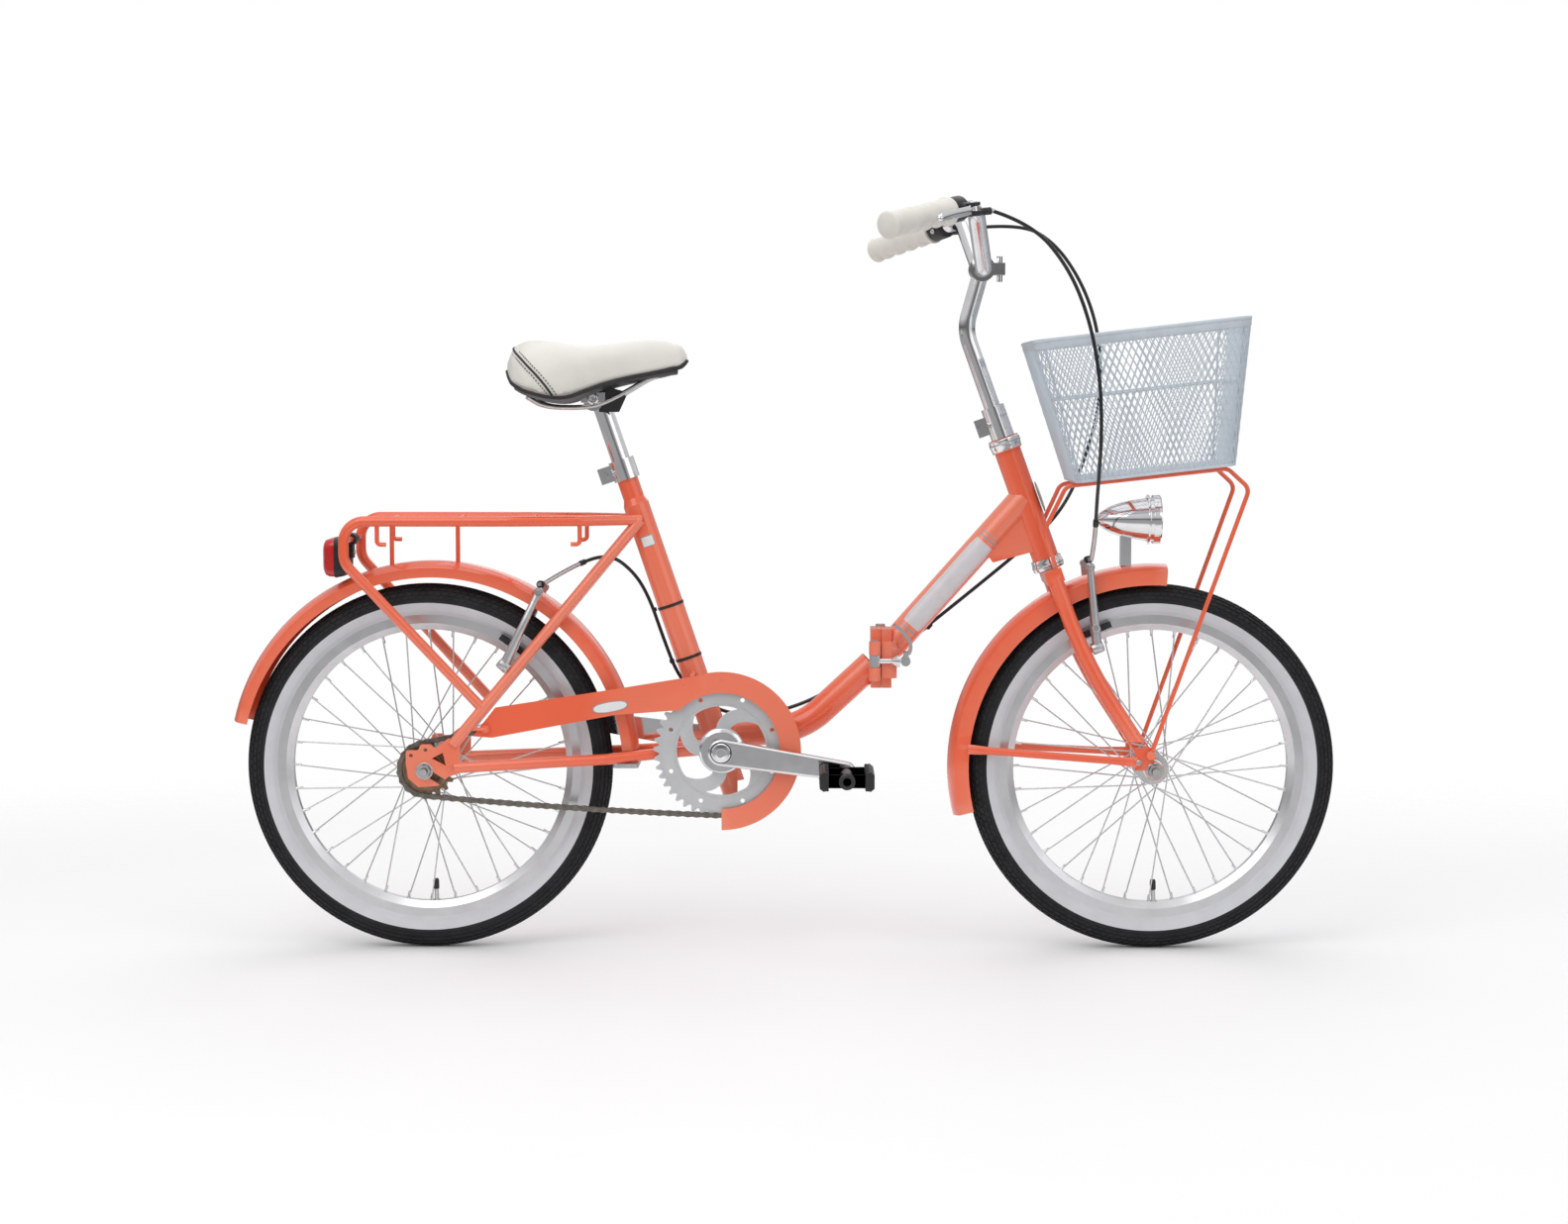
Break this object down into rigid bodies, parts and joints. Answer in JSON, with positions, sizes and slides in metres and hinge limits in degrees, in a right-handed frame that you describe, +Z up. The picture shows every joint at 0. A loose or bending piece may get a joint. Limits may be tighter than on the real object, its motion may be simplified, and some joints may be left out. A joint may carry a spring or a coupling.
{
  "type": "folding bicycle",
  "caption": "Small-wheeled folding city bicycle with a low hinged main tube, chain guard, mudguards, rear rack, front wire basket and lamps.",
  "frame": {"origin": "on the ground in the middle of the bicycle's length and width", "axes": "+X is the way it rides, +Y is its left side (the chain is on -Y), +Z is up"},
  "size_m": [1.5017, 0.6006, 1.0094],
  "materials": {
    "coral_paint": "gloss",
    "chrome": "polished",
    "polished_alloy": "polished",
    "satin_alloy": "satin",
    "zinc_steel": "satin",
    "dark_steel": "oiled",
    "brown_steel": "oxidised",
    "tyre_rubber": "matt black tread and light grey sidewall",
    "black_plastic": "matt",
    "grey_ring": "satin",
    "cream_rubber": "matt",
    "cream_leather": "soft",
    "blue_grey_wire": "coated",
    "cable_black": "gloss",
    "red_lens": "clear red"
  },
  "bodies": {
    "rear_frame": {"seat_tube": "coral_paint", "bottom_bracket_shell": "coral_paint", "main_tube_rear": "coral_paint", "hinge_rear_lug": "coral_paint", "hinge_pins": "zinc_steel", "chainstays": "coral_paint", "seatstays": "coral_paint", "rear_dropouts": "coral_paint", "kickstand_plate": "zinc_steel", "rear_rack": "coral_paint", "rear_mudguard": "coral_paint", "rear_lamp": "red_lens", "chain_guard": "coral_paint", "seat_clamp": "chrome", "rear_axle": "zinc_steel", "chain": "dark_steel", "rear_cable_lower": "cable_black"},
    "crankset": {"crank_spindle": "dark_steel", "chainring": "grey_ring", "crank_arm_right": "chrome", "crank_arm_left": "chrome"},
    "right_pedal": {"pedal_right": "black_plastic"},
    "left_pedal": {"pedal_left": "black_plastic"},
    "freewheel": {"freewheel_sprocket": "brown_steel"},
    "rear_wheel": {"rear_tyre": "tyre_rubber", "rear_rim": "chrome", "rear_spokes": "zinc_steel", "rear_hub": "polished_alloy"},
    "front_frame": {"main_tube_front": "coral_paint", "head_tube": "coral_paint", "hinge_front_lug": "coral_paint", "rear_cable_upper": "cable_black"},
    "latch": {"latch_bolt": "chrome"},
    "latch_handle": {"latch_lever": "chrome"},
    "steering": {"fork": "coral_paint", "front_mudguard": "coral_paint", "front_rack": "coral_paint", "basket": "blue_grey_wire", "headlamp": "chrome", "front_axle": "zinc_steel", "stem_clamp": "chrome", "front_brake_cable": "cable_black"},
    "front_wheel": {"front_tyre": "tyre_rubber", "front_rim": "chrome", "front_spokes": "zinc_steel", "front_hub": "polished_alloy"},
    "stem_post": {"stem": "chrome"},
    "bar": {"handlebar": "chrome", "grips": "cream_rubber", "brake_housings": "black_plastic"},
    "right_lever": {"brake_lever_right": "chrome"},
    "left_lever": {"brake_lever_left": "chrome"},
    "front_arm_right": {"front_brake_arm_right": "satin_alloy"},
    "front_arm_left": {"front_brake_arm_left": "satin_alloy"},
    "rear_arm_right": {"rear_brake_arm_right": "satin_alloy"},
    "rear_arm_left": {"rear_brake_arm_left": "satin_alloy"},
    "saddle_post": {"seatpost": "chrome", "saddle_base": "black_plastic", "saddle": "cream_leather"}
  },
  "joints": [
    {"name": "crank_spin", "type": "hinge", "parent": "rear_frame", "child": "crankset", "pos_m": [-0.0832, 0, 0.276], "axis": [0, 1, 0], "continuous": true, "deforming": ["chain"]},
    {"name": "right_pedal_spin", "type": "hinge", "parent": "crankset", "child": "right_pedal", "pos_m": [0.08484, -0.123, 0.25029], "axis": [0, 1, 0], "continuous": true},
    {"name": "left_pedal_spin", "type": "hinge", "parent": "crankset", "child": "left_pedal", "pos_m": [-0.25124, 0.123, 0.30171], "axis": [0, 1, 0], "continuous": true},
    {"name": "freewheel_spin", "type": "hinge", "parent": "rear_frame", "child": "freewheel", "pos_m": [-0.4832, -0.044, 0.25], "axis": [0, 1, 0], "continuous": true, "deforming": ["chain"]},
    {"name": "rear_wheel_spin", "type": "hinge", "parent": "rear_frame", "child": "rear_wheel", "pos_m": [-0.4832, 0, 0.25], "axis": [0, 1, 0], "continuous": true},
    {"name": "frame_fold", "type": "hinge", "parent": "rear_frame", "child": "front_frame", "pos_m": [0.1328, 0.031, 0.399], "axis": [0, 0, 1], "range_deg": [0, 130], "deforming": ["rear_cable_lower"]},
    {"name": "latch_swing", "type": "hinge", "parent": "rear_frame", "child": "latch", "pos_m": [0.1238, -0.038, 0.397], "axis": [0, 0, 1], "range_deg": [-130, 0]},
    {"name": "latch_lever_flip", "type": "hinge", "parent": "latch", "child": "latch_handle", "pos_m": [0.1653, -0.038, 0.397], "axis": [0, 1, 0], "range_deg": [0, 100]},
    {"name": "steering_turn", "type": "hinge", "parent": "front_frame", "child": "steering", "pos_m": [0.46354, 0, 0.23659], "axis": [-0.3387, 0, 0.9409], "range_deg": [-35, 35], "deforming": ["rear_cable_upper"]},
    {"name": "front_wheel_spin", "type": "hinge", "parent": "steering", "child": "front_wheel", "pos_m": [0.5008, 0, 0.25], "axis": [0, 1, 0], "continuous": true},
    {"name": "stem_height", "type": "slide", "parent": "steering", "child": "stem_post", "axis": [-0.3387, 0, 0.9409], "range_m": [-0.05, 0.06], "deforming": ["front_brake_cable", "rear_cable_upper"]},
    {"name": "handlebar_tilt", "type": "hinge", "parent": "stem_post", "child": "bar", "pos_m": [0.26751, 0, 0.92456], "axis": [0, 1, 0], "range_deg": [-20, 15], "deforming": ["front_brake_cable", "rear_cable_upper"]},
    {"name": "right_lever_pull", "type": "hinge", "parent": "bar", "child": "right_lever", "pos_m": [0.24419, -0.20134, 0.99191], "axis": [0.1238, 0.1454, -0.9816], "range_deg": [0, 14], "stiffness_Nm_per_rad": 2, "springref_deg": -8.59},
    {"name": "left_lever_pull", "type": "hinge", "parent": "bar", "child": "left_lever", "pos_m": [0.24419, 0.20134, 0.99191], "axis": [-0.1238, 0.1454, 0.9816], "range_deg": [0, 14], "stiffness_Nm_per_rad": 2, "springref_deg": -8.59},
    {"name": "front_arm_right_swing", "type": "hinge", "parent": "steering", "child": "front_arm_right", "pos_m": [0.42306, -0.041, 0.41545], "axis": [0.9409, 0, 0.3387], "range_deg": [-2.41, 0]},
    {"name": "front_arm_left_swing", "type": "hinge", "parent": "steering", "child": "front_arm_left", "pos_m": [0.42306, 0.041, 0.41545], "axis": [0.9409, 0, 0.3387], "range_deg": [0, 2.41]},
    {"name": "rear_arm_right_swing", "type": "hinge", "parent": "rear_frame", "child": "rear_arm_right", "pos_m": [-0.37619, -0.04818, 0.39138], "axis": [-0.7687, 0, 0.6396], "range_deg": [0, 2.41]},
    {"name": "rear_arm_left_swing", "type": "hinge", "parent": "rear_frame", "child": "rear_arm_left", "pos_m": [-0.37619, 0.04818, 0.39138], "axis": [-0.7687, 0, 0.6396], "range_deg": [-2.41, 0]},
    {"name": "seat_height", "type": "slide", "parent": "rear_frame", "child": "saddle_post", "axis": [-0.3223, 0, 0.9466], "range_m": [-0.05, 0.08]}
  ],
  "couplings": [
    {"joint": "freewheel_spin", "follows": "crank_spin", "ratio": 2.4444},
    {"joint": "latch_swing", "follows": "frame_fold", "ratio": -1},
    {"joint": "front_arm_right_swing", "follows": "right_lever_pull", "ratio": -0.17143},
    {"joint": "front_arm_left_swing", "follows": "right_lever_pull", "ratio": 0.17143},
    {"joint": "rear_arm_right_swing", "follows": "left_lever_pull", "ratio": 0.17143},
    {"joint": "rear_arm_left_swing", "follows": "left_lever_pull", "ratio": -0.17143}
  ]
}
